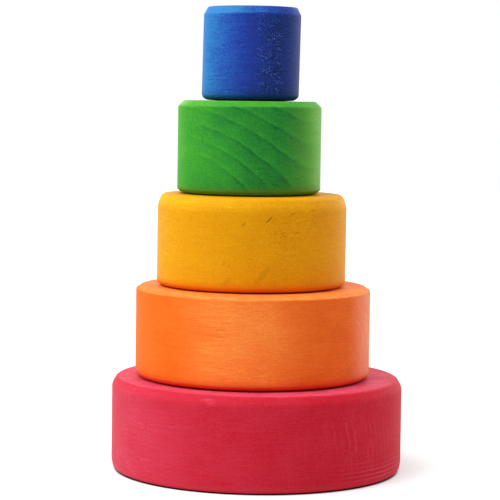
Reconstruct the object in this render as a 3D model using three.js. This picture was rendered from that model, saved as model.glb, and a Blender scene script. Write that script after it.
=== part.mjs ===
// A nesting set of turned wooden bowls, stood base up on one another as a tower, the largest at the bottom.
// Every bowl is one piece of wood: a thick base, a straight side wall and a hollow that opens at the rim.
// Millimetres, +Z up. The origin lies on the standing surface, under the middle of the largest bowl.

import * as THREE from "three";

// Overall heights, from the rim to the outside of the base
const RED_HEIGHT = 47.85;
const ORANGE_HEIGHT = 46.95;
const YELLOW_HEIGHT = 47.35;
const GREEN_HEIGHT = 47.45;
const BLUE_HEIGHT = 47.65;

// Side walls, each round the next smaller bowl, and the outside of the smallest
const RED_WALL = 12.25;
const ORANGE_WALL = 9.55;
const YELLOW_WALL = 9.6;
const GREEN_WALL = 9.65;
const BLUE_WALL = 8.5;
const BLUE_DIAMETER = 49.9;

// What all the bowls share
const BASE_THICKNESS = 9;
const MOUTH_RADIUS = 1.5; // rounding of the rim's inner edge
const BLUE_COVE = 4; // inside corner of the smallest bowl, where no other bowl nests
const NESTING_CLEARANCE = 2.25; // all round a bowl that stands inside the next larger one
const SEAT_GAP = 0.05; // hairline between a rim and the base that it stands on

// Bevels round the outside of the bases: how far in and how far down
const RED_BEVEL_INSET = 2.4;
const RED_BEVEL_DROP = 4.2;
const ORANGE_BEVEL_INSET = 2.6;
const ORANGE_BEVEL_DROP = 1.8;
const YELLOW_BEVEL_INSET = 2.2;
const YELLOW_BEVEL_DROP = 5.7;
const GREEN_BEVEL_INSET = 3.2;
const GREEN_BEVEL_DROP = 2.9;
const BLUE_BEVEL_INSET = 2.1;
const BLUE_BEVEL_DROP = 3.9;

// Outer edges of the rims: how far in and how far up
const RED_RIM_INSET = 0.9;
const RED_RIM_RISE = 4.8;
const ORANGE_RIM_INSET = 1.5;
const ORANGE_RIM_RISE = 2.4;
const YELLOW_RIM_INSET = 1.4;
const YELLOW_RIM_RISE = 2.4;
const GREEN_RIM_INSET = 1.7;
const GREEN_RIM_RISE = 2.2;
const BLUE_RIM_INSET = 2.3;
const BLUE_RIM_RISE = 2.1;

// How far along X each bowl stands from the middle of the largest one
const ORANGE_ASIDE = -2.5;
const YELLOW_ASIDE = -3.8;
const GREEN_ASIDE = -5.6;
const BLUE_ASIDE = -5.5;

// Fineness of the turned surfaces
const FACETS_ROUND = 60;
const FACETS_PER_CURVE = 3;

// Finish of the stained and oiled wood
const WOOD_ROUGHNESS = 0.55;
const WOOD_METALNESS = 0;

// The bowls from the smallest to the largest. An edge's roundness runs from 0, flat, to 1, fully round.
const BOWLS = [
  {
    name: "blue_bowl",
    colour: 0x2d58aa,
    height: BLUE_HEIGHT,
    wall: BLUE_WALL,
    baseEdge: { inset: BLUE_BEVEL_INSET, depth: BLUE_BEVEL_DROP, roundness: 0.15 },
    rimEdge: { inset: BLUE_RIM_INSET, depth: BLUE_RIM_RISE, roundness: 0.8 },
    aside: BLUE_ASIDE,
  },
  {
    name: "green_bowl",
    colour: 0x3a9134,
    height: GREEN_HEIGHT,
    wall: GREEN_WALL,
    baseEdge: { inset: GREEN_BEVEL_INSET, depth: GREEN_BEVEL_DROP, roundness: 0.2 },
    rimEdge: { inset: GREEN_RIM_INSET, depth: GREEN_RIM_RISE, roundness: 0.3 },
    aside: GREEN_ASIDE,
  },
  {
    name: "yellow_bowl",
    colour: 0xe89c12,
    height: YELLOW_HEIGHT,
    wall: YELLOW_WALL,
    baseEdge: { inset: YELLOW_BEVEL_INSET, depth: YELLOW_BEVEL_DROP, roundness: 0.65 },
    rimEdge: { inset: YELLOW_RIM_INSET, depth: YELLOW_RIM_RISE, roundness: 0.6 },
    aside: YELLOW_ASIDE,
  },
  {
    name: "orange_bowl",
    colour: 0xf5762d,
    height: ORANGE_HEIGHT,
    wall: ORANGE_WALL,
    baseEdge: { inset: ORANGE_BEVEL_INSET, depth: ORANGE_BEVEL_DROP, roundness: 0.25 },
    rimEdge: { inset: ORANGE_RIM_INSET, depth: ORANGE_RIM_RISE, roundness: 0.7 },
    aside: ORANGE_ASIDE,
  },
  {
    name: "red_bowl",
    colour: 0xd23046,
    height: RED_HEIGHT,
    wall: RED_WALL,
    baseEdge: { inset: RED_BEVEL_INSET, depth: RED_BEVEL_DROP, roundness: 0.45 },
    rimEdge: { inset: RED_RIM_INSET, depth: RED_RIM_RISE, roundness: 0.7 },
    aside: 0,
  },
];

// Each larger bowl's hollow takes the next smaller bowl with the nesting clearance, inside its own wall.
// Its inside corner, the cove, is as large as the smaller bowl's bevel leaves room for.
function withRadii(bowls) {
  let outerRadius = BLUE_DIAMETER / 2;
  let cove = BLUE_COVE;
  return bowls.map((bowl, step) => {
    if (step > 0) {
      outerRadius += NESTING_CLEARANCE + bowl.wall;
      cove = NESTING_CLEARANCE + bowls[step - 1].baseEdge.inset;
    }
    return { ...bowl, outerRadius, innerRadius: outerRadius - bowl.wall, cove };
  });
}

// The bend of an edge lies between the middle of a flat bevel and the sharp corner, by its roundness.
function bend(edge) {
  const share = (1 - edge.roundness) / 2;
  return { inset: edge.inset * share, depth: edge.depth * share };
}

// Half section of a bowl that stands on its rim, from the middle of the hollow's ceiling
// round the rim to the middle of the base.
function halfSection(bowl) {
  const { height, cove, baseEdge, rimEdge, innerRadius, outerRadius } = bowl;
  const ceiling = height - BASE_THICKNESS;
  const rimBend = bend(rimEdge);
  const baseBend = bend(baseEdge);

  const section = new THREE.Path();
  section.moveTo(0, ceiling);
  section.lineTo(innerRadius - cove, ceiling);
  section.quadraticCurveTo(innerRadius, ceiling, innerRadius, ceiling - cove);
  section.lineTo(innerRadius, MOUTH_RADIUS);
  section.quadraticCurveTo(innerRadius, 0, innerRadius + MOUTH_RADIUS, 0);
  section.lineTo(outerRadius - rimEdge.inset, 0);
  section.quadraticCurveTo(outerRadius - rimBend.inset, rimBend.depth, outerRadius, rimEdge.depth);
  section.lineTo(outerRadius, height - baseEdge.depth);
  section.quadraticCurveTo(
    outerRadius - baseBend.inset,
    height - baseBend.depth,
    outerRadius - baseEdge.inset,
    height,
  );
  section.lineTo(0, height);
  return section.getPoints(FACETS_PER_CURVE);
}

// One bowl, turned about its own upright axis, standing on its rim at z = 0.
function turnedBowl(bowl) {
  const geometry = new THREE.LatheGeometry(halfSection(bowl), FACETS_ROUND);
  geometry.rotateX(Math.PI / 2);
  const material = new THREE.MeshStandardMaterial({
    color: bowl.colour,
    roughness: WOOD_ROUGHNESS,
    metalness: WOOD_METALNESS,
  });
  const mesh = new THREE.Mesh(geometry, material);
  mesh.name = bowl.name;
  return mesh;
}

// The tower, built from the largest bowl up: each bowl stands on the base of the one below.
function stackedTower() {
  const tower = new THREE.Group();
  let seat = 0;
  for (const bowl of withRadii(BOWLS).reverse()) {
    const mesh = turnedBowl(bowl);
    mesh.position.set(bowl.aside, 0, seat);
    tower.add(mesh);
    seat += bowl.height + SEAT_GAP;
  }
  return tower;
}

export default stackedTower();
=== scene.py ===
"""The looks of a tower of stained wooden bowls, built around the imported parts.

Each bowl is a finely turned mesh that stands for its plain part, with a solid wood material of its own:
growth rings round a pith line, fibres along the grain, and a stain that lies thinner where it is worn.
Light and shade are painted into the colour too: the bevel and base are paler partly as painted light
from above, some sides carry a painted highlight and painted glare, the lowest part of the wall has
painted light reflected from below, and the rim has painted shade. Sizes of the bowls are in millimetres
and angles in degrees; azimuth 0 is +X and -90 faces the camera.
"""

import math

import bpy
import numpy as np
from mathutils import Euler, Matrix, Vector


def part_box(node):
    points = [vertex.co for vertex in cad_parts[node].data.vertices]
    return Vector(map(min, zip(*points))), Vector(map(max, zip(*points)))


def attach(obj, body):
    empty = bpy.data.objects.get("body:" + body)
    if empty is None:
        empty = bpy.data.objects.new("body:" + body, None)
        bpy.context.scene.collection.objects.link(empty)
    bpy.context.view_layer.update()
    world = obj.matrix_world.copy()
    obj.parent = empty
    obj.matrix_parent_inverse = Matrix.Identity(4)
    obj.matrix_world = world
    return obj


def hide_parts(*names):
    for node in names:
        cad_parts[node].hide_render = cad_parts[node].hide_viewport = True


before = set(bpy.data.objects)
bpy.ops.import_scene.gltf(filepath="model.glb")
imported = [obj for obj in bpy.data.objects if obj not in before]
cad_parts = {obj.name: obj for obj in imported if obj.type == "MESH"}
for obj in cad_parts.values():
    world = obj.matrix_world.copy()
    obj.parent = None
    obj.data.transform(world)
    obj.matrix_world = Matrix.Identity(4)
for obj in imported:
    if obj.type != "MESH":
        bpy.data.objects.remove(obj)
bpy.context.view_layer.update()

MM = 0.001  # metres in a millimetre

# Sizes that the bowls share
BASE_THICKNESS = 9.0
MOUTH_RADIUS = 1.5
RIM_GAP_REACH = 5.0  # how far in a rim stands clear of what is below
FOOT_REACH = 1.0  # rounding where the rim starts to lift
STRAIGHT_STEP = 2.5  # spacing of mesh rings on straight runs
BEVEL_STEP = 0.5  # on bevels
CURVE_STEP = 0.35  # and on rounded corners
LEAST_CURVE_STEPS = 4
FACET_WIDTH = 1.0  # spacing of mesh points round a bowl
OUT_OF_ROUND = 0.05  # how far a dried bowl has drawn in from its true circle, on average
ROUND_WAVES = [(2, 0.6), (3, 0.4)]  # waves round the bowl in that, and their shares
BEVEL_WAVES = [(3, 1.0), (7, 0.6), (13, 0.35)]  # and in the sanding of the bevel
BEVEL_WAVE_REACH = 1.6  # how far from the bevel's lower edge those reach
BEVEL_FROM = 0.9  # share of the radius beyond which they lie
DENTS_FROM = 0.85  # and beyond which dents lie

# How much thinner the stain lies than on the side wall, on the scale of stains below
PLAIN = 0.0  # the side wall itself
RIM_PAINTED_SHADE = -0.36  # the rim: thicker stain as painted shade where it sits on what is below
DENT_THINNESS = 0.7  # a dent, for each millimetre of its depth

# The shape of each bowl.
#   wall      thickness of the side
#   gap       how far the outer part of the rim stands clear of what is below
#   cove      rounding of the hollow's inside corner
#   bevel     round the base: inset, depth and softness, 0 being crisp and 1 fully rounded
#   rim       the outer edge of the rim, likewise
#   thin_and_painted_light  how much thinner the stain lies on the bevel, and on the base, partly worn and
#   partly as painted light from above
#   lean      how far the top stands to the right of the rim
#   wobble    how unevenly the bevel was sanded
#   dents     azimuth, height, half length round, half height and depth of each
BOWLS = {
    "red": {
        "wall": 12.25,
        "gap": 0.8,
        "cove": 4.85,
        "bevel": (2.4, 4.2, 0.55),
        "rim": (0.9, 4.8, 0.8),
        "thin_and_painted_light": (-0.2, 0.3),
        "lean": 0.0,
        "wobble": 0.1,
        "dents": [
            (-108.8, 45.9, 2.8, 0.7, 0.6),
            (-107.6, 44.4, 1.7, 1.0, 0.28),
            (151.0, 43.8, 1.4, 1.0, 0.4),
        ],
    },
    "orange": {
        "wall": 9.55,
        "gap": 0.8,
        "cove": 4.45,
        "bevel": (2.6, 1.8, 0.2),
        "rim": (1.5, 2.4, 0.9),
        "thin_and_painted_light": (0.33, 0.34),
        "lean": 0.0,
        "wobble": 0.05,
        "dents": [(64.0, 45.6, 1.1, 0.9, 0.3)],
    },
    "yellow": {
        "wall": 9.6,
        "gap": 0.8,
        "cove": 5.45,
        "bevel": (2.2, 5.7, 0.75),
        "rim": (1.4, 2.4, 0.9),
        "thin_and_painted_light": (0.17, 0.14),
        "lean": 0.17,
        "wobble": 0.2,
        "dents": [(-141.0, 1.6, 1.0, 0.8, 0.3), (28.0, 41.5, 1.3, 0.9, 0.28)],
    },
    "green": {
        "wall": 9.65,
        "gap": 0.7,
        "cove": 4.35,
        "bevel": (3.2, 2.9, 0.3),
        "rim": (1.7, 2.2, 0.5),
        "thin_and_painted_light": (0.2, 0.22),
        "lean": 0.1,
        "wobble": 0.05,
        "dents": [(117.0, 45.2, 1.0, 0.8, 0.3)],
    },
    "blue": {
        "wall": 8.5,
        "gap": 0.3,
        "cove": 4.0,
        "bevel": (2.1, 3.9, 0.25),
        "rim": (2.3, 2.1, 0.9),
        "thin_and_painted_light": (0.3, 0.24),
        "lean": 0.8,
        "wobble": 0.05,
        "dents": [(75.0, 43.6, 0.9, 0.8, 0.25)],
    },
}

# The wood of each bowl.
#   grain     azimuth that the fibres run along
#   end       squareness of the cut at which side grain starts to turn to end grain, and has turned
#   pith      where the heart of the tree lies: across the grain and up from the rim
#   ring      spacing of the growth rings, distance of one of them from the pith, and their contrast
#   waves     how far the rings waver
#   young     distances from the pith at which the rings start to show, and are full
#   levels    heights at which the rings start to show, are full, start to fade and are gone, or None
#   figure    whether a ring shows as a shaded band or as a thin pale line
#   face      azimuth that the rings show towards, and the squareness at which they start and are full
#   stain     place on a scale from thin to thick, and the sRGB colour there
#   base      place on that scale of the plain side grain
#   soak      how much thicker the stain is on end grain
#   fade      azimuth towards which the stain thickens across the bowl, and by how much
#   thin_and_painted_light  azimuths round which the stain is thinner, on some sides as a painted
#   highlight and painted glare, the squareness at which that starts, and by how much
#   glare_and_tints  azimuths round which the colour turns to another tone, on some edges as painted
#   glare,
#             the squareness at which that starts, how much, and the sRGB colour that it turns to
#   blotch    strength of the cloudy patches
#   fibre     strength of the streaks along the grain
#   turning   strength of the fine level lines left by turning and sanding
#   grit      strength of the fine pores
#   fleck     strength of the short dark flecks
#   speck     strength of the pale and dark specks, and the azimuth that they show towards, or None
#   rim_lines heights and strengths of pale turned lines, and the azimuth that they show towards, or None
#   rim       sRGB colour of the painted shade on the rim, with light reflected from below painted in
#   painted_bounce  sRGB colour of light reflected from below, painted on the lowest part of the wall, and
#   how far it goes
#   marks     dark ingrown strokes: azimuth, height, length, width, slant, strength
#   swirls    patches of short slanting streaks: azimuth, height, length, width, slant, strength
WOODS = {
    "red": {
        "grain": -39.3,
        "end": (0.3, 0.95),
        "pith": (-108.4, 6.2),
        "ring": (3.85, 85.5, 0.16),
        "waves": 1.5,
        "young": (0.0, 1.0),
        "levels": (8.0, 16.0, 28.0, 42.0),
        "figure": "lines",
        "face": (-30.0, 0.72, 0.9),
        "stain": [
            (0.1, (226, 96, 124)),
            (0.35, (203, 53, 76)),
            (0.6, (192, 31, 49)),
            (0.75, (184, 12, 34)),
            (0.9, (168, 8, 28)),
        ],
        "base": 0.55,
        "soak": 0.0,
        "fade": (-10.0, 0.07),
        "thin_and_painted_light": [(-160.0, 0.6, 0.13)],
        "glare_and_tints": [],
        "blotch": 0.12,
        "fibre": 0.08,
        "turning": 0.12,
        "grit": 0.12,
        "fleck": 0.0,
        "speck": None,
        "rim_lines": ([(4.2, 1.0), (6.3, 1.0), (8.5, 0.8), (10.5, 0.4), (12.9, 0.3)], -24.0),
        "rim": (110, 8, 24),
        "painted_bounce": ((235, 60, 76), 0.4),
        "marks": [],
        "swirls": [(-36.0, 43.0, 16.0, 70.0, 102.0, 0.4)],
    },
    "orange": {
        "grain": -20.0,
        "end": (0.3, 0.95),
        "pith": (-48.0, -6.0),
        "ring": (3.2, 54.0, 0.38),
        "waves": 1.2,
        "young": (0.0, 1.0),
        "levels": (8.0, 15.0, 36.0, 43.0),
        "figure": "lines",
        "face": (-8.0, 0.84, 0.96),
        "stain": [
            (0.0, (254, 162, 74)),
            (0.35, (240, 116, 47)),
            (0.6, (225, 94, 26)),
            (0.9, (200, 66, 12)),
        ],
        "base": 0.56,
        "soak": 0.0,
        "fade": (0.0, 0.03),
        # On the front, thinner stain is a painted highlight; on the right edge, thinner stain and the
        # pale tint are painted glare
        "thin_and_painted_light": [(-98.0, 0.8, 0.26), (-6.0, 0.9, 0.12), (180.0, 0.8, 0.06)],
        "glare_and_tints": [(-6.0, 0.84, 0.24, (228, 186, 168)), (-170.0, 0.3, 0.5, (233, 110, 0))],
        "blotch": 0.16,
        "fibre": 0.1,
        "turning": 0.2,
        "grit": 0.14,
        "fleck": 0.08,
        "speck": None,
        "rim_lines": None,
        "rim": (176, 44, 18),
        "painted_bounce": ((215, 40, 28), 0.8),
        "marks": [],
        "swirls": [],
    },
    "yellow": {
        "grain": -80.0,
        "end": (0.3, 0.95),
        "pith": (60.0, 80.0),
        "ring": (4.4, 60.0, 0.06),
        "waves": 0.8,
        "young": (0.0, 1.0),
        "levels": None,
        "figure": "bands",
        "face": (-80.0, 0.5, 0.95),
        "stain": [
            (0.1, (242, 180, 26)),
            (0.35, (223, 155, 10)),
            (0.6, (213, 135, 4)),
            (0.9, (172, 88, 4)),
        ],
        "base": 0.5,
        "soak": 0.0,
        "fade": (0.0, 0.12),
        "thin_and_painted_light": [(180.0, 0.55, 0.06), (0.0, 0.7, 0.1)],
        "glare_and_tints": [],
        "blotch": 0.1,
        "fibre": 0.08,
        "turning": 0.2,
        "grit": 0.25,
        "fleck": 0.4,
        "speck": None,
        "rim_lines": None,
        "rim": (184, 84, 8),
        "painted_bounce": ((214, 84, 8), 0.75),
        "marks": [
            (-79.2, 37.2, 5.0, 1.1, 50.0, 0.7),
            (-80.8, 36.0, 2.6, 0.7, 56.0, 0.55),
            (-94.3, 34.5, 4.2, 1.15, 46.0, 0.5),
            (-65.3, 39.7, 4.0, 0.8, 14.0, 0.6),
            (-105.9, 14.9, 4.0, 0.85, 66.0, 0.35),
            (-90.1, 17.4, 1.5, 0.8, 20.0, 0.45),
            (-81.3, 31.4, 3.6, 0.55, 75.0, 0.45),
            (-70.5, 28.9, 1.2, 0.5, 10.0, 0.5),
            (-52.0, 41.2, 5.0, 0.65, 14.0, 0.3),
            (-67.5, 38.4, 6.0, 0.6, 24.0, 0.35),
            (-86.5, 17.0, 1.6, 0.55, 80.0, 0.4),
            (-83.0, 9.5, 17.0, 4.4, 52.0, 0.2),
            (-104.0, 6.0, 10.0, 3.6, 40.0, 0.18),
            (-98.0, 27.0, 15.0, 2.4, -38.0, 0.07),
            (-128.0, 36.0, 7.0, 0.8, 76.0, 0.2),
        ],
        "swirls": [(-63.0, 35.0, 54.0, 26.0, 28.0, 0.42), (-74.0, 25.0, 36.0, 26.0, 62.0, 0.36)],
    },
    "green": {
        "grain": -116.5,
        "end": (0.35, 0.9),
        "pith": (-20.0, -25.1),
        "ring": (7.58, 46.2, 0.29),
        "waves": 0.8,
        "young": (34.0, 47.0),
        "levels": None,
        "figure": "bands",
        "face": (-85.0, 0.42, 0.9),
        "stain": [
            (0.0, (136, 188, 98)),
            (0.2, (88, 168, 58)),
            (0.45, (58, 152, 40)),
            (0.65, (44, 135, 47)),
            (0.95, (22, 100, 44)),
        ],
        "base": 0.42,
        "soak": 0.1,
        "fade": (-45.0, 0.3),
        # On the right side the thinner stain and the olive tint are partly painted glare
        "thin_and_painted_light": [(0.0, 0.65, 0.48)],
        "glare_and_tints": [(-8.0, 0.5, 0.17, (150, 136, 62))],
        "blotch": 0.18,
        "fibre": 0.08,
        "turning": 0.12,
        "grit": 0.32,
        "fleck": 0.15,
        "speck": None,
        "rim_lines": None,
        "rim": (72, 78, 10),
        "painted_bounce": ((110, 110, 16), 0.45),
        "marks": [],
        "swirls": [(-136.0, 35.0, 40.0, 26.0, -40.0, 0.4)],
    },
    "blue": {
        "grain": -64.0,
        "end": (0.86, 0.985),
        "pith": (40.0, -45.0),
        "ring": (2.4, 20.0, 0.04),
        "waves": 0.8,
        "young": (0.0, 1.0),
        "levels": None,
        "figure": "bands",
        "face": (-62.0, 0.5, 0.95),
        "stain": [
            (0.0, (54, 126, 192)),
            (0.12, (44, 118, 184)),
            (0.3, (38, 80, 170)),
            (0.5, (33, 54, 146)),
            (0.7, (30, 52, 123)),
            (1.0, (14, 25, 62)),
        ],
        "base": 0.5,
        "soak": 0.04,
        "fade": (0.0, 0.42),
        # The thinner stain on the left edge is painted glare
        "thin_and_painted_light": [(0.0, 0.55, 0.14), (180.0, 0.85, 0.1)],
        "glare_and_tints": [],
        "blotch": 0.1,
        "fibre": 0.08,
        "turning": 0.22,
        "grit": 0.24,
        "fleck": 0.3,
        "speck": (0.56, -67.0),
        "rim_lines": None,
        "rim": (18, 56, 56),
        "painted_bounce": ((24, 62, 70), 0.2),
        "marks": [],
        "swirls": [],
    },
}

# The camera, fitted to the outlines of the bowls
CAMERA_PLACE = (0.0, -1.0056, 0.1922)
CAMERA_LENS = 140.77
SENSOR_WIDTH = 36.0
CAMERA_LEVEL = 90.0  # up from straight down
CAMERA_PITCH = 4.498  # down from level
CAMERA_YAW = 0.255  # to the left
CAMERA_ROLL = 0.78  # counterclockwise

# The light
AMBIENT = 0.44
KEY_TOWARD = (-0.66, -0.2, 0.72)  # a broad soft light, high on the left
KEY_STRENGTH = 2.2
FILL_TOWARD = (0.75, 0.58, 0.3)  # a weaker one, behind on the right
FILL_STRENGTH = 1.5
TOP_TOWARD = (-0.1, -0.15, 1.0)  # and one overhead
TOP_STRENGTH = 1.5
SPREAD = 60.0  # angle that each of them fills

# The floor, in metres
FLOOR_SIZE = 6.0
FLOOR_COLOUR = (0.68, 0.72, 0.72, 1.0)
FLOOR_SHADE = (0.12, 0.04, 0.05, 1.0)  # under the tower: a dark reddish painted shadow, seen in the gap under the rim
FLOOR_SHADE_EDGE = (0.0724, 0.0744)  # radii at which that ends, and at which the open floor starts
FLOOR_GLOW = 0.28  # of the open floor where it is seen: it turns white and keeps its shadow

# Noise in the wood: sizes along three axes, detail and roughness
NOISE_MEAN = 0.5
# along the grain, across it and up
RING_WANDER = ((90.0, 26.0, 26.0), 2.0, 0.5)
RING_WAVER = ((30.0, 5.0, 5.0), 2.0, 0.5)
FINE_FIBRE = ((9.0, 0.3, 0.3), 3.0, 0.65)
BROAD_FIBRE = ((40.0, 1.2, 1.2), 2.0, 0.6)
BLOTCH = ((30.0, 14.0, 14.0), 3.0, 0.55)
# along the bowl's own axes
RING_BREAK = ((5.0, 5.0, 7.0), 2.0, 0.5)
TURNED_LINE = ((10.0, 10.0, 0.5), 3.0, 0.7)
GRIT = ((0.9, 0.9, 0.6), 2.0, 0.7)
WEAR_AND_LIGHT_PATCH = ((4.0, 4.0, 4.0), 3.0, 0.5)
SPECK_PATCH = ((5.0, 5.0, 4.0), 2.0, 0.5)
STROKE_RAG = ((0.5, 0.5, 0.5), 2.0, 0.5)
# into the side, along a slant and across it
SWIRL_STREAK = ((1.0, 3.6, 0.6), 2.0, 0.6)

# How dark a growth ring is on its way outward, from one step to the next, and on average
RING_SHADES = {
    "bands": [
        (0.0, 0.5),
        (0.05, 0.05),
        (0.14, 0.12),
        (0.32, 0.45),
        (0.7, 0.55),
        (0.88, 0.9),
        (0.96, 1.0),
        (1.0, 0.5),
    ],
    "lines": [(0.0, 0.0), (0.15, 0.6), (0.25, 1.0), (0.75, 1.0), (0.85, 0.6), (1.0, 0.0)],
}
RING_MEANS = {"bands": 0.5, "lines": 0.85}
RING_DRIFT = 0.9  # how far the rings wander
RING_SPREAD = (0.38, 0.6, 0.12, 1.0)  # noise where a ring is faintest and full, and its strength there
FAINTEST_BAND = 0.45  # strength that a shaded band keeps at least
LINE_STRENGTHS = (0.1, 1.5)  # of the weakest and the strongest pale line

# Flecks and specks lie in scattered cells, sized along the grain, across it and up
FLECK = (3.2, 0.6, 0.6)
FLECK_EDGE = (0.08, 0.36)  # distances from the middle at which a fleck starts to fade, and is gone
FLECKLESS = 0.88  # share of the cells without one
SPECK = (5.0, 0.56, 0.56)
SPECK_EDGE = (0.3, 0.7)
SPECK_FACE = (0.93, 0.99)  # squareness at which specks start to show, and are full
SPECK_SPREAD = (0.4, 0.62, 0.15, 1.0)  # noise where they are faintest and full, and their strength there
DARK_UP_TO = 0.45  # random number of a cell up to which its speck is dark
PALE_FROM = 0.75  # and from which it is pale

# Turned lines near a rim
RIM_LINE_WIDTH = 0.7
RIM_LINE_SPAN = 20.0  # height within which they lie
RIM_LINE_FACE = (0.78, 0.97)  # squareness at which they start to show, and are full
RIM_LINE_THINNESS = 0.3

# Swirls and strokes fade between these distances, in half lengths and half widths from the middle
SWIRL_EDGE = (0.3, 1.0)
STROKE_EDGE = (0.6, 1.5)
STROKE_RAGGEDNESS = 0.9

# The stain, and the light and shade painted into it
WEAR_AND_LIGHT_SPREAD = (0.2, 0.8, 0.75, 1.15)  # noise where the wearing, with the painted light and shade it carries, is least and most, and its share there
PAINTED_BOUNCE_HEIGHT = 6.5  # below which light reflected from below is painted on the wall
RIM_SHADE_SHARE = 1.4  # share of the rim colour of painted shade for each step of thickness
BROWN = (112, 40, 2)  # sRGB colour of the dark strokes
PALE = (92, 118, 210)  # and of the pale specks

# The surface: relief of fibres, turned lines and flecks in millimetres, and roughness
FINE_RELIEF = 0.05
BROAD_RELIEF = 0.04
LINE_RELIEF = 0.05
FLECK_RELIEF = -0.04
ROUGHNESS = 0.5
FIBRE_ROUGHNESS = 0.25
END_ROUGHNESS = 0.06
WORN_ROUGHNESS = -0.06
SHEEN = 0.05  # specular level of the oiled wood


def straight(start, end, spacing):
    """Evenly spaced points between two ends, which are left out."""
    start, end = np.array(start, float), np.array(end, float)
    steps = max(1, math.ceil(np.linalg.norm(end - start) / spacing))
    return [start + (end - start) * step / steps for step in range(1, steps)]


def rounded_corner(before, corner, after, reach):
    """Points of an arc that leaves both straight runs at reach from the corner."""
    before, corner, after = (np.array(p, float) for p in (before, corner, after))
    back = (before - corner) / np.linalg.norm(before - corner)
    on = (after - corner) / np.linalg.norm(after - corner)
    half = math.acos(float(np.clip(back @ on, -1, 1))) / 2
    sweep = math.pi - 2 * half
    radius = reach * math.tan(half)
    middle = corner + (back + on) / np.linalg.norm(back + on) * radius / math.sin(half)
    first, last = corner + back * reach - middle, corner + on * reach - middle
    steps = max(LEAST_CURVE_STEPS, math.ceil(radius * sweep / CURVE_STEP))
    shares = [step / steps for step in range(steps + 1)]
    return [
        middle + (first * math.sin((1 - s) * sweep) + last * math.sin(s * sweep)) / math.sin(sweep)
        for s in shares
    ]


def half_section(radius, height, shape):
    """The outline from the middle of the hollow's ceiling round the rim to the middle of the base:
    points (radius, height) and how much thinner the stain lies on each than on the side wall, with
    painted shade on the rim and partly painted light from above on the bevel and base."""
    bevel_in, bevel_down, bevel_soft = shape["bevel"]
    rim_in, rim_up, rim_soft = shape["rim"]
    # The bevel and base are paler partly from wearing and partly as painted light from above
    bevel_thin_and_painted_light, base_thin_and_painted_light = shape["thin_and_painted_light"]
    inner = radius - shape["wall"]
    ceiling = height - BASE_THICKNESS
    bevel_reach = math.hypot(bevel_in, bevel_down) / 2 * bevel_soft
    rim_reach = math.hypot(rim_in, rim_up - shape["gap"]) / 2 * rim_soft
    # Each corner with its reach, and the thinness of the stain (painted shade on the rim, partly painted
    # light on the bevel and base) and the spacing of the run that follows it
    corners = [
        ((inner, ceiling), shape["cove"], PLAIN, STRAIGHT_STEP),
        ((inner, 0.0), MOUTH_RADIUS, RIM_PAINTED_SHADE, STRAIGHT_STEP),
        ((radius - rim_in - RIM_GAP_REACH, 0.0), FOOT_REACH, RIM_PAINTED_SHADE, STRAIGHT_STEP),
        ((radius - rim_in, shape["gap"]), rim_reach, RIM_PAINTED_SHADE, BEVEL_STEP),
        ((radius, rim_up), rim_reach, PLAIN, STRAIGHT_STEP),
        ((radius, height - bevel_down), bevel_reach, bevel_thin_and_painted_light, BEVEL_STEP),
        ((radius - bevel_in, height), bevel_reach, base_thin_and_painted_light, STRAIGHT_STEP),
    ]
    stops = [(0.0, ceiling)] + [corner[0] for corner in corners] + [(0.0, height)]
    points, thinness_and_painted_light = [np.array(stops[0])], [PLAIN]
    run, spacing = PLAIN, STRAIGHT_STEP
    for number, (corner, reach, next_run, next_spacing) in enumerate(corners):
        arc = rounded_corner(stops[number], corner, stops[number + 2], reach)
        between = straight(points[-1], arc[0], spacing)
        points += between + arc
        thinness_and_painted_light += [run] * len(between) + list(np.linspace(run, next_run, len(arc)))
        run, spacing = next_run, next_spacing
    between = straight(points[-1], stops[-1], spacing)
    points += between + [np.array(stops[-1])]
    thinness_and_painted_light += [run] * (len(between) + 1)
    return np.array(points), np.array(thinness_and_painted_light)


def nearness(value, half_width):
    """1 at 0, falling smoothly to 0 a few half widths away."""
    return np.exp(-((value / half_width) ** 2))


def turned_points(outline, thinness_and_painted_light, around, radius, height, shape):
    """Places of the mesh points, ring by ring, with the small faults of a sanded wooden bowl, and how
    thinly the stain lies on each, painted light and shade included. The bowl's own sizes set the phases
    of its waves."""
    turn = 2 * math.pi * np.arange(around) / around
    r, z = (np.repeat(outline[:, axis, None], around, axis=1) for axis in (0, 1))
    wear_and_painted_light = np.repeat(thinness_and_painted_light[:, None], around, axis=1)
    angle = np.repeat(turn[None, :], len(outline), axis=0)
    outward = r / radius
    round_waves = zip(ROUND_WAVES, (height, radius))
    waves = sum(share * np.cos(count * angle + phase) for (count, share), phase in round_waves)
    r = r + OUT_OF_ROUND * outward * (waves - 1)
    bevel_line = height - shape["bevel"][1]
    bevel_waves = zip(BEVEL_WAVES, (radius, height, 0.0))
    uneven = sum(share * np.sin(count * angle + phase) for (count, share), phase in bevel_waves)
    on_bevel = nearness(z - bevel_line, BEVEL_WAVE_REACH) * (outward > BEVEL_FROM)
    z = z + shape["wobble"] * uneven * on_bevel
    for azimuth, level, half_length, half_height, depth in shape["dents"]:
        off = (angle - math.radians(azimuth) + math.pi) % (2 * math.pi) - math.pi
        dent = nearness(off * radius, half_length) * nearness(z - level, half_height)
        dent = dent * (outward > DENTS_FROM)
        r = r - depth * dent
        wear_and_painted_light = np.maximum(wear_and_painted_light, DENT_THINNESS * depth * dent)
    x = r * np.cos(angle) + shape["lean"] * z / height
    y = r * np.sin(angle)
    return np.stack([x, y, z], axis=2), wear_and_painted_light


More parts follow.
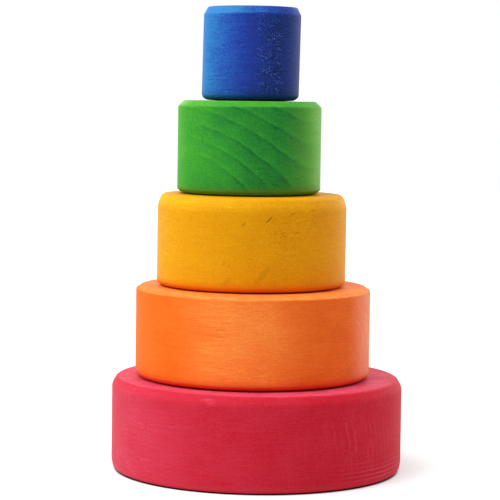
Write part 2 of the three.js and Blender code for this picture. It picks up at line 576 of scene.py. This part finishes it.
def turned_mesh(name, radius, height, shape):
    """A bowl's mesh in metres, standing on its rim round its own axis, with how worn it is and its
    painted light and shade as an attribute.
    """
    outline, thinness_and_painted_light = half_section(radius, height, shape)
    around = 4 * round(math.pi * radius / FACET_WIDTH / 2)  # in fours, so that points lie on both axes
    places, wear_and_painted_light = turned_points(outline, thinness_and_painted_light, around, radius, height, shape)
    rings = len(outline) - 2
    points = np.concatenate([places[0, :1], places[1:-1].reshape(-1, 3), places[-1, :1]]) * MM
    wears_and_painted_light = np.concatenate([wear_and_painted_light[0, :1], wear_and_painted_light[1:-1].reshape(-1), wear_and_painted_light[-1, :1]])
    last = len(points) - 1
    faces = []
    for k in range(around):
        beside = (k + 1) % around
        faces.append((0, 1 + beside, 1 + k))
        for ring in range(rings - 1):
            low, high = 1 + ring * around, 1 + (ring + 1) * around
            faces.append((low + k, low + beside, high + beside, high + k))
        top = 1 + (rings - 1) * around
        faces.append((top + k, top + beside, last))
    mesh = bpy.data.meshes.new(name)
    mesh.from_pydata(points.tolist(), [], faces)
    mesh.attributes.new("wear_and_painted_light", "FLOAT", "POINT").data.foreach_set("value", wears_and_painted_light)
    mesh.polygons.foreach_set("use_smooth", [True] * len(mesh.polygons))
    mesh.update()
    return mesh


def linear(colour):
    """An sRGB colour of 0 to 255 as linear RGBA."""
    shares = [c / 255 for c in colour]
    return [c / 12.92 if c < 0.04045 else ((c + 0.055) / 1.055) ** 2.4 for c in shares] + [1.0]


class Nodes:
    """Short ways to add nodes to a tree. All but add return the socket that carries the result."""

    def __init__(self, tree):
        self.tree = tree
        tree.nodes.clear()

    def add(self, kind, inputs=None, **settings):
        """A new node, with values set on its inputs or sockets linked to them."""
        node = self.tree.nodes.new("ShaderNode" + kind)
        for key, value in settings.items():
            setattr(node, key, value)
        for key, value in (inputs or {}).items():
            if isinstance(value, bpy.types.NodeSocket):
                self.tree.links.new(value, node.inputs[key])
            else:
                node.inputs[key].default_value = value
        return node

    def math(self, operation, *values, clamp=False):
        node = self.add("Math", dict(enumerate(values)), operation=operation, use_clamp=clamp)
        return node.outputs[0]

    def plus(self, *terms):
        total = terms[0]
        for term in terms[1:]:
            total = self.math("ADD", total, term)
        return total

    def times(self, *factors):
        product = factors[0]
        for factor in factors[1:]:
            product = self.math("MULTIPLY", product, factor)
        return product

    def vector(self, operation, *values):
        node = self.add("VectorMath", dict(enumerate(values)), operation=operation)
        return node.outputs["Value" if operation in ("DOT_PRODUCT", "LENGTH") else "Vector"]

    def stretched(self, place, sizes):
        """The place measured in units of sizes, one for each axis."""
        return self.vector("MULTIPLY", place, [1 / size for size in sizes])

    def turned(self, place, *angles):
        """The place turned about x, y and z by angles in degrees."""
        rotation = [math.radians(angle) for angle in angles]
        return self.add("Mapping", {"Vector": place, "Rotation": rotation}).outputs["Vector"]

    def noise(self, place, pattern, output="Fac"):
        """Noise of a pattern: its sizes along the axes, its detail and its roughness."""
        sizes, detail, roughness = pattern
        place = self.stretched(place, sizes)
        inputs = {"Vector": place, "Scale": 1.0, "Detail": detail, "Roughness": roughness}
        return self.add("TexNoise", inputs).outputs[output]

    def cells(self, place, sizes):
        """Scattered cells: how far off the middle of the nearest one is, and its random number."""
        place = self.stretched(place, sizes)
        cells = self.add("TexVoronoi", {"Vector": place, "Scale": 1.0}).outputs
        chance = self.add("SeparateColor", {"Color": cells["Color"]}).outputs[0]
        return cells["Distance"], chance

    def remap(self, value, low, high, to_low=0.0, to_high=1.0, smooth=True):
        """The value taken from one range to another, and held within it."""
        inputs = {"Value": value, "From Min": low, "From Max": high, "To Min": to_low, "To Max": to_high}
        node = self.add("MapRange", inputs, interpolation_type="SMOOTHSTEP" if smooth else "LINEAR")
        return node.outputs["Result"]

    def ramp(self, value, stops):
        """The colour at a value, on a scale of places and their colours."""
        node = self.add("ValToRGB", {"Fac": value})
        elements = node.color_ramp.elements
        while len(elements) < len(stops):
            elements.new(0.0)
        for element, (position, colour) in zip(elements, stops):
            element.position = position
            element.color = colour
        return node.outputs["Color"]

    def mix(self, share, colour, other):
        """A colour with a share of another one."""
        return self.add("MixRGB", {"Fac": share, "Color1": colour, "Color2": other}).outputs["Color"]


def grey(value):
    """A linear grey as RGBA."""
    return (value, value, value, 1.0)


def heading(azimuth):
    """The level direction of an azimuth."""
    turn = math.radians(azimuth)
    return (math.cos(turn), math.sin(turn), 0.0)


def facing(n, normal, azimuth):
    """How squarely the surface faces an azimuth."""
    return n.vector("DOT_PRODUCT", normal, heading(azimuth))


def centred(n, value):
    """Noise as a swing round zero."""
    return n.math("SUBTRACT", value, NOISE_MEAN)


def growth_rings(n, look, place, grain, height, normal):
    """Shade of the growth rings round zero, where the cut shows them."""
    heart = grain
    for pattern, reach in ((RING_WANDER, RING_DRIFT), (RING_WAVER, look["waves"])):
        swing = n.vector("SUBTRACT", n.noise(grain, pattern, "Color"), (NOISE_MEAN,) * 3)
        heart = n.vector("ADD", heart, n.vector("MULTIPLY", swing, (0.0, 2 * reach, 2 * reach)))
    heart = n.vector("SUBTRACT", heart, (0.0, *look["pith"]))
    distance = n.vector("LENGTH", n.vector("MULTIPLY", heart, (0.0, 1.0, 1.0)))
    spacing, first, contrast = look["ring"]
    ring = n.math("DIVIDE", n.math("SUBTRACT", distance, first), spacing)
    stops = [(share, grey(shade)) for share, shade in RING_SHADES[look["figure"]]]
    shade = n.math("SUBTRACT", n.ramp(n.math("FRACT", ring), stops), RING_MEANS[look["figure"]])
    shade = n.times(shade, n.remap(distance, *look["young"]))
    broken = n.remap(n.noise(place, RING_BREAK), *RING_SPREAD)
    if look["figure"] == "lines":
        number = n.math("ROUND", ring)
        strong = n.add("TexWhiteNoise", {"W": number}, noise_dimensions="1D").outputs["Value"]
        strong = n.remap(strong, 0.0, 1.0, *LINE_STRENGTHS, smooth=False)
        shade = n.times(shade, strong, broken)
    else:
        shade = n.times(shade, n.remap(broken, 0.0, 1.0, FAINTEST_BAND, 1.0, smooth=False))
    toward, start, full = look["face"]
    shade = n.times(shade, n.remap(facing(n, normal, toward), start, full))
    if look["levels"]:
        start, full, fading, gone = look["levels"]
        shade = n.times(shade, n.remap(height, start, full), n.remap(height, gone, fading))
    return n.times(shade, contrast)


def turned_rim_lines(n, look, height, normal):
    """Pale lines that run round the bowl near its rim, on one side."""
    levels, toward = look["rim_lines"]
    stops = [(0.0, grey(0.0))]
    for level, bright in levels:
        for offset, shade in ((-RIM_LINE_WIDTH, 0.0), (0.0, bright), (RIM_LINE_WIDTH, 0.0)):
            stops.append(((level + offset) / RIM_LINE_SPAN, grey(shade)))
    lines = n.ramp(n.math("DIVIDE", height, RIM_LINE_SPAN), stops)
    return n.times(lines, n.remap(facing(n, normal, toward), *RIM_LINE_FACE))


def end_grain_specks(n, look, place, grain, normal):
    """How far a dark and a pale speck cover a spot: pores cut across, in patches on one side."""
    strength, toward = look["speck"]
    distance, chance = n.cells(grain, SPECK)
    patch = n.remap(n.noise(place, SPECK_PATCH), *SPECK_SPREAD)
    shown = n.times(patch, n.remap(facing(n, normal, toward), *SPECK_FACE))
    cover = n.times(n.remap(distance, *SPECK_EDGE, 1.0, 0.0), shown, strength)
    dark = n.times(n.math("LESS_THAN", chance, DARK_UP_TO), cover)
    pale = n.times(n.math("GREATER_THAN", chance, PALE_FROM), cover)
    return dark, pale


def laid_on_side(n, place, azimuth, level, length, width, slant):
    """The place seen from a spot on the bowl's side, y along the slant and z across it, how far off it is
    in half lengths and half widths, and whether it is on that side of the bowl."""
    upright = n.turned(place, 0.0, 0.0, -azimuth)
    local = n.vector("MULTIPLY", n.vector("SUBTRACT", upright, (0.0, 0.0, level)), (0.0, 1.0, 1.0))
    laid = n.turned(local, -slant, 0.0, 0.0)
    off = n.vector("LENGTH", n.stretched(laid, (1.0, length / 2, width / 2)))
    front = n.math("GREATER_THAN", n.add("SeparateXYZ", {"Vector": upright}).outputs["X"], 0.0)
    return laid, off, front


def dark_stroke(n, place, colour, azimuth, level, length, width, slant, strength):
    """The colour with a short dark stroke laid into it, at a height and azimuth on the bowl's side."""
    _, off, front = laid_on_side(n, place, azimuth, level, length, width, slant)
    ragged = n.plus(off, n.times(n.noise(place, STROKE_RAG), STROKE_RAGGEDNESS))
    cover = n.times(n.remap(ragged, *STROKE_EDGE, 1.0, 0.0), front, strength)
    return n.mix(cover, colour, linear(BROWN))


def swirled_grain(n, place, azimuth, level, length, width, slant, strength):
    """Short slanting streaks of thicker and thinner stain, in a patch on the bowl's side."""
    laid, off, front = laid_on_side(n, place, azimuth, level, length, width, slant)
    streaks = centred(n, n.noise(laid, SWIRL_STREAK))
    return n.times(streaks, n.remap(off, *SWIRL_EDGE, 1.0, 0.0), front, 2 * strength)


def stained_wood(name, look):
    """Solid stained wood in the bowl's own coordinates, in millimetres."""
    material = bpy.data.materials.new(name)
    material.use_nodes = True
    n = Nodes(material.node_tree)

    coordinates = n.add("TexCoord").outputs
    normal = coordinates["Normal"]
    place = n.vector("MULTIPLY", coordinates["Object"], (1 / MM,) * 3)
    height = n.add("SeparateXYZ", {"Vector": place}).outputs["Z"]
    grain = n.turned(place, 0.0, 0.0, -look["grain"])

    # Share of end grain: how squarely the surface cuts the fibres
    square = n.math("ABSOLUTE", facing(n, normal, look["grain"]))
    end_grain = n.remap(square, *look["end"])

    # Fibres, turned lines, pores, cloudy patches and flecks
    fine = centred(n, n.noise(grain, FINE_FIBRE))
    broad = centred(n, n.noise(grain, BROAD_FIBRE))
    lines = centred(n, n.noise(place, TURNED_LINE))
    grit = centred(n, n.noise(place, GRIT))
    cloud = centred(n, n.noise(grain, BLOTCH))
    distance, chance = n.cells(grain, FLECK)
    chosen = n.math("GREATER_THAN", chance, FLECKLESS)
    fleck = n.times(n.remap(distance, *FLECK_EDGE, 1.0, 0.0), chosen)

    # Thickness of the stain, with the painted light and shade that the mesh carries
    thicken, amount = look["fade"]
    wear_and_painted_light = n.add("Attribute", attribute_name="wear_and_painted_light").outputs["Fac"]
    worn_and_painted_light = n.times(wear_and_painted_light, n.remap(n.noise(place, WEAR_AND_LIGHT_PATCH), *WEAR_AND_LIGHT_SPREAD))
    stain = n.plus(
        look["base"],
        growth_rings(n, look, place, grain, height, normal),
        n.times(end_grain, look["soak"]),
        n.times(facing(n, normal, thicken), amount),
        n.times(cloud, 2 * look["blotch"]),
        n.times(fine, 2 * look["fibre"]),
        n.times(broad, 2 * look["fibre"]),
        n.times(lines, 2 * look["turning"]),
        n.times(grit, 2 * look["grit"]),
        n.times(fleck, look["fleck"]),
        n.times(worn_and_painted_light, -1.0),
    )
    # Thinner stain on some sides, in places a painted highlight and painted glare
    for toward, start, paling in look["thin_and_painted_light"]:
        thin_and_painted_light_share = n.remap(facing(n, normal, toward), start, 1.0)
        stain = n.plus(stain, n.times(thin_and_painted_light_share, -paling))
    for swirl in look["swirls"]:
        stain = n.plus(stain, swirled_grain(n, place, *swirl))
    if look["rim_lines"]:
        pale_lines = turned_rim_lines(n, look, height, normal)
        stain = n.plus(stain, n.times(pale_lines, -RIM_LINE_THINNESS))

    # Its colour, with the specks
    stops = [(position, linear(tone)) for position, tone in look["stain"]]
    if look["speck"]:
        dark, pale = end_grain_specks(n, look, place, grain, normal)
        colour = n.mix(pale, n.ramp(n.plus(stain, dark), stops), linear(PALE))
    else:
        colour = n.ramp(stain, stops)

    # Painted glare and tones on the sides, painted light reflected from below on the lowest part of the
    # wall, painted shade on the rim, and ingrown dark strokes
    # Some of these tones are painted glare on an edge
    for toward, start, share, tone in look["glare_and_tints"]:
        glare_and_tint_share = n.times(n.remap(facing(n, normal, toward), start, 1.0), share)
        colour = n.mix(glare_and_tint_share, colour, linear(tone))
    # Light reflected from below, painted on the lowest part of the wall
    tone, share = look["painted_bounce"]
    colour = n.mix(n.remap(height, PAINTED_BOUNCE_HEIGHT, 0.0, 0.0, share), colour, linear(tone))
    # Painted shade on the rim, with light reflected from below painted into its colour
    painted_rim_shade = n.math("MULTIPLY", wear_and_painted_light, -RIM_SHADE_SHARE, clamp=True)
    colour = n.mix(painted_rim_shade, colour, linear(look["rim"]))
    for mark in look["marks"]:
        colour = dark_stroke(n, place, colour, *mark)

    # The surface
    relief = n.plus(
        n.times(fine, FINE_RELIEF),
        n.times(broad, BROAD_RELIEF),
        n.times(lines, LINE_RELIEF),
        n.times(fleck, FLECK_RELIEF),
    )
    bump = n.add("Bump", {"Strength": 1.0, "Distance": MM, "Height": relief}).outputs["Normal"]
    rough = n.plus(
        ROUGHNESS,
        n.times(fine, FIBRE_ROUGHNESS),
        n.times(end_grain, END_ROUGHNESS),
        n.times(worn_and_painted_light, WORN_ROUGHNESS),
    )
    finish = {"Base Color": colour, "Roughness": rough, "Normal": bump, "Specular IOR Level": SHEEN}
    shader = n.add("BsdfPrincipled", finish)
    n.add("OutputMaterial", {"Surface": shader.outputs["BSDF"]})
    return material


def make_bowl(colour_name):
    """A bowl where its plain part stands, riding on the same body."""
    node = colour_name + "_bowl"
    low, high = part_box(node)
    radius = (high.x - low.x) / 2 / MM
    height = (high.z - low.z) / MM
    mesh = turned_mesh("turned_" + node, radius, height, BOWLS[colour_name])
    mesh.materials.append(stained_wood(colour_name + "_stained_wood", WOODS[colour_name]))
    bowl = bpy.data.objects.new("turned_" + node, mesh)
    bowl.location = ((low.x + high.x) / 2, (low.y + high.y) / 2, low.z)
    bpy.context.scene.collection.objects.link(bowl)
    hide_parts(node)
    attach(bowl, colour_name)


def make_camera():
    """The camera in front of the tower."""
    camera = bpy.data.cameras.new("camera")
    camera.lens = CAMERA_LENS
    camera.sensor_width = SENSOR_WIDTH
    holder = bpy.data.objects.new("camera", camera)
    pitch, yaw, roll = (math.radians(a) for a in (CAMERA_LEVEL - CAMERA_PITCH, CAMERA_YAW, CAMERA_ROLL))
    upright = Euler((pitch, 0.0, yaw)).to_matrix()
    holder.matrix_world = (upright @ Euler((0.0, 0.0, roll)).to_matrix()).to_4x4()
    holder.location = CAMERA_PLACE
    bpy.context.scene.collection.objects.link(holder)
    bpy.context.scene.camera = holder


def seen_white(n):
    """1 for a ray from the camera, also by way of gloss or glass, and 0 for one that gathers light."""
    path = n.add("LightPath").outputs
    seen = n.math("MAXIMUM", path["Is Camera Ray"], path["Is Glossy Ray"])
    return n.math("MAXIMUM", seen, path["Is Transmission Ray"])


def make_floor():
    """A white floor that keeps the tower's shadow, with a painted shadow under the tower."""
    half = FLOOR_SIZE / 2
    corners = [(-half, -half, 0), (half, -half, 0), (half, half, 0), (-half, half, 0)]
    mesh = bpy.data.meshes.new("floor")
    mesh.from_pydata(corners, [], [(0, 1, 2, 3)])
    material = bpy.data.materials.new("floor_white")
    material.use_nodes = True
    n = Nodes(material.node_tree)
    from_middle = n.vector("LENGTH", n.add("TexCoord").outputs["Object"])
    open_floor = n.remap(from_middle, *FLOOR_SHADE_EDGE)
    # The dark disc under the tower is a painted shadow
    colour = n.mix(open_floor, FLOOR_SHADE, FLOOR_COLOUR)
    matte = n.add("BsdfDiffuse", {"Color": colour}).outputs["BSDF"]
    strength = n.times(seen_white(n), open_floor, FLOOR_GLOW)
    glow = n.add("Emission", {"Color": grey(1.0), "Strength": strength}).outputs["Emission"]
    both = n.add("AddShader", {0: matte, 1: glow}).outputs["Shader"]
    n.add("OutputMaterial", {"Surface": both})
    mesh.materials.append(material)
    floor = bpy.data.objects.new("floor", mesh)
    bpy.context.scene.collection.objects.link(floor)


def make_sun(name, toward, strength):
    """A soft lamp that stands in one direction from the tower."""
    lamp = bpy.data.lights.new(name, "SUN")
    lamp.energy = strength
    lamp.angle = math.radians(SPREAD)
    holder = bpy.data.objects.new(name, lamp)
    holder.rotation_euler = (-Vector(toward)).to_track_quat("-Z", "Y").to_euler()
    bpy.context.scene.collection.objects.link(holder)


def make_light():
    """Broad soft lights high on the left, behind on the right and overhead, in an even white room."""
    make_sun("key", KEY_TOWARD, KEY_STRENGTH)
    make_sun("fill", FILL_TOWARD, FILL_STRENGTH)
    make_sun("top", TOP_TOWARD, TOP_STRENGTH)

    world = bpy.data.worlds.new("white_room")
    bpy.context.scene.world = world
    world.use_nodes = True
    n = Nodes(world.node_tree)
    strength = n.remap(seen_white(n), 0.0, 1.0, AMBIENT, 1.0, smooth=False)
    background = n.add("Background", {"Color": grey(1.0), "Strength": strength}).outputs["Background"]
    n.add("OutputWorld", {"Surface": background})


make_camera()
make_floor()
make_light()
for colour_name in BOWLS:
    make_bowl(colour_name)

bpy.context.scene.view_settings.view_transform = "Standard"
